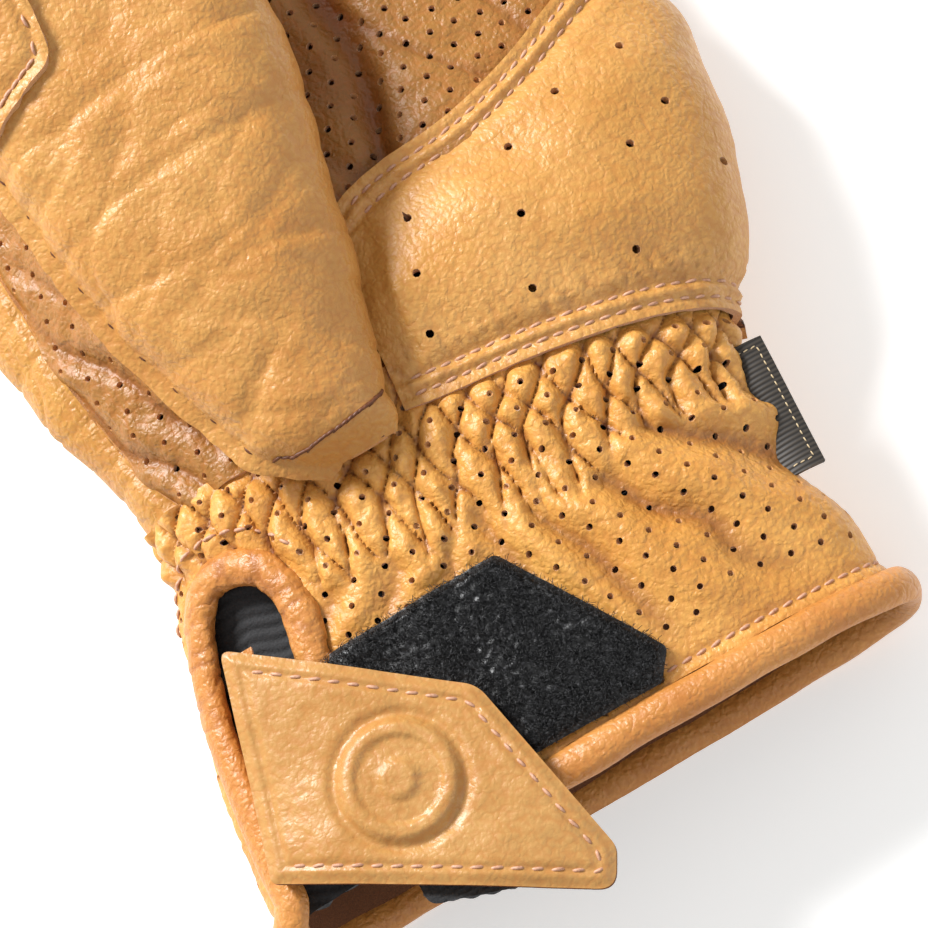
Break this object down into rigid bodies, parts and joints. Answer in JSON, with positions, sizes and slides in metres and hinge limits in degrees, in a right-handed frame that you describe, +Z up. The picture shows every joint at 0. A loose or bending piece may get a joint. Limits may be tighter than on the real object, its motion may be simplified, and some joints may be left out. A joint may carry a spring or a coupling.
{
  "type": "leather riding glove",
  "caption": "Short tan leather riding glove, left hand, palm up, with perforated panels, padded heel, gathered wrist, vented cuff and hook-and-loop strap.",
  "frame": {"origin": "centre of the glove's footprint, at the height of the surface that it rests on", "axes": "+Y from the cuff to the fingertips, +Z up out of the palm, thumb on the -X side"},
  "size_m": [0.1166, 0.2574, 0.064],
  "materials": {
    "tan_leather": "soft full-grain, semi-matt, fine grain",
    "perforated_leather": "semi-matt, round perforations",
    "rolled_edge_leather": "semi-matt, creased",
    "suede_lining": "napped, matt",
    "loop_pile": "fuzzy looped pile, matt",
    "hook_tape": "fine stiff hooks, matt",
    "ribbed_elastic": "ribbed knit, matt",
    "woven_label": "woven satin with a light border stitch",
    "foam": "open-cell foam, matt",
    "badge_leather": "moulded, semi-matt"
  },
  "bodies": {
    "hand": {"wrist_front": "perforated_leather", "wrist_back": "perforated_leather", "palm_panel": "perforated_leather", "thumb_side_strip": "perforated_leather", "back_panel": "tan_leather", "knuckle_panel": "perforated_leather", "heel_pad": "perforated_leather", "heel_foam": "foam", "thenar_panel": "tan_leather"},
    "cuff": {"cuff_front": "perforated_leather", "cuff_back": "perforated_leather", "cuff_binding": "rolled_edge_leather", "vent_binding": "rolled_edge_leather", "vent_gusset": "ribbed_elastic", "wrist_elastic": "ribbed_elastic", "loop_patch": "loop_pile", "side_label": "woven_label", "strap_root": "tan_leather"},
    "strap": {"strap_leather": "tan_leather", "strap_lining": "suede_lining", "hook_patch": "hook_tape", "strap_badge": "badge_leather"},
    "thumb": {"thumb_front": "tan_leather", "thumb_back": "tan_leather", "thumb_sides": "tan_leather"},
    "thumb_tip": {"thumb_tip_front": "tan_leather", "thumb_tip_back": "tan_leather", "thumb_tip_sides": "tan_leather", "thumb_grip": "tan_leather"},
    "index": {"index_front": "tan_leather", "index_back": "perforated_leather", "index_sides": "tan_leather"},
    "index_tip": {"index_tip_front": "tan_leather", "index_tip_back": "perforated_leather", "index_tip_sides": "tan_leather"},
    "middle": {"middle_front": "tan_leather", "middle_back": "perforated_leather", "middle_sides": "tan_leather"},
    "middle_tip": {"middle_tip_front": "tan_leather", "middle_tip_back": "perforated_leather", "middle_tip_sides": "tan_leather"},
    "ring": {"ring_front": "tan_leather", "ring_back": "perforated_leather", "ring_sides": "tan_leather"},
    "ring_tip": {"ring_tip_front": "tan_leather", "ring_tip_back": "perforated_leather", "ring_tip_sides": "tan_leather"},
    "little": {"little_front": "tan_leather", "little_back": "perforated_leather", "little_sides": "tan_leather"},
    "little_tip": {"little_tip_front": "tan_leather", "little_tip_back": "perforated_leather", "little_tip_sides": "tan_leather"}
  },
  "joints": [
    {"name": "wrist_flex", "type": "hinge", "parent": "hand", "child": "cuff", "pos_m": [-0.00215, -0.0619, 0.015], "axis": [1, 0, 0], "range_deg": [-30, 30]},
    {"name": "strap_lift", "type": "hinge", "parent": "cuff", "child": "strap", "pos_m": [-0.04775, -0.09015, 0.0304], "axis": [-0.222, -0.975, 0], "range_deg": [0, 150]},
    {"name": "thumb_swing", "type": "hinge", "parent": "hand", "child": "thumb", "pos_m": [-0.02815, -0.0229, 0.0435], "axis": [0, 0, 1], "range_deg": [0, 35]},
    {"name": "thumb_bend", "type": "hinge", "parent": "thumb", "child": "thumb_tip", "pos_m": [-0.01476, 0.01698, 0.04629], "axis": [0.9994, -0.0349, 0], "range_deg": [-8, 60]},
    {"name": "index_bend", "type": "hinge", "parent": "hand", "child": "index", "pos_m": [-0.03515, 0.0361, 0.0126], "axis": [0.9976, 0.0698, 0], "range_deg": [-8, 44]},
    {"name": "index_knuckle", "type": "hinge", "parent": "index", "child": "index_tip", "pos_m": [-0.03806, 0.07777, 0.01699], "axis": [0.9976, 0.0698, 0], "range_deg": [-8, 60]},
    {"name": "middle_bend", "type": "hinge", "parent": "hand", "child": "middle", "pos_m": [-0.01065, 0.0401, 0.0126], "axis": [0.9998, 0.0175, 0], "range_deg": [-8, 44]},
    {"name": "middle_knuckle", "type": "hinge", "parent": "middle", "child": "middle_tip", "pos_m": [-0.01145, 0.08584, 0.01741], "axis": [0.9998, 0.0175, 0], "range_deg": [-8, 80]},
    {"name": "ring_bend", "type": "hinge", "parent": "hand", "child": "ring", "pos_m": [0.01385, 0.0371, 0.0126], "axis": [0.999, -0.0436, 0], "range_deg": [-8, 70]},
    {"name": "ring_knuckle", "type": "hinge", "parent": "ring", "child": "ring_tip", "pos_m": [0.01571, 0.07982, 0.01709], "axis": [0.999, -0.0436, 0], "range_deg": [-8, 80]},
    {"name": "little_bend", "type": "hinge", "parent": "hand", "child": "little", "pos_m": [0.03735, 0.0281, 0.0126], "axis": [0.9925, -0.1219, 0], "range_deg": [-8, 70]},
    {"name": "little_knuckle", "type": "hinge", "parent": "little", "child": "little_tip", "pos_m": [0.04147, 0.06166, 0.01615], "axis": [0.9925, -0.1219, 0], "range_deg": [-8, 80]}
  ]
}
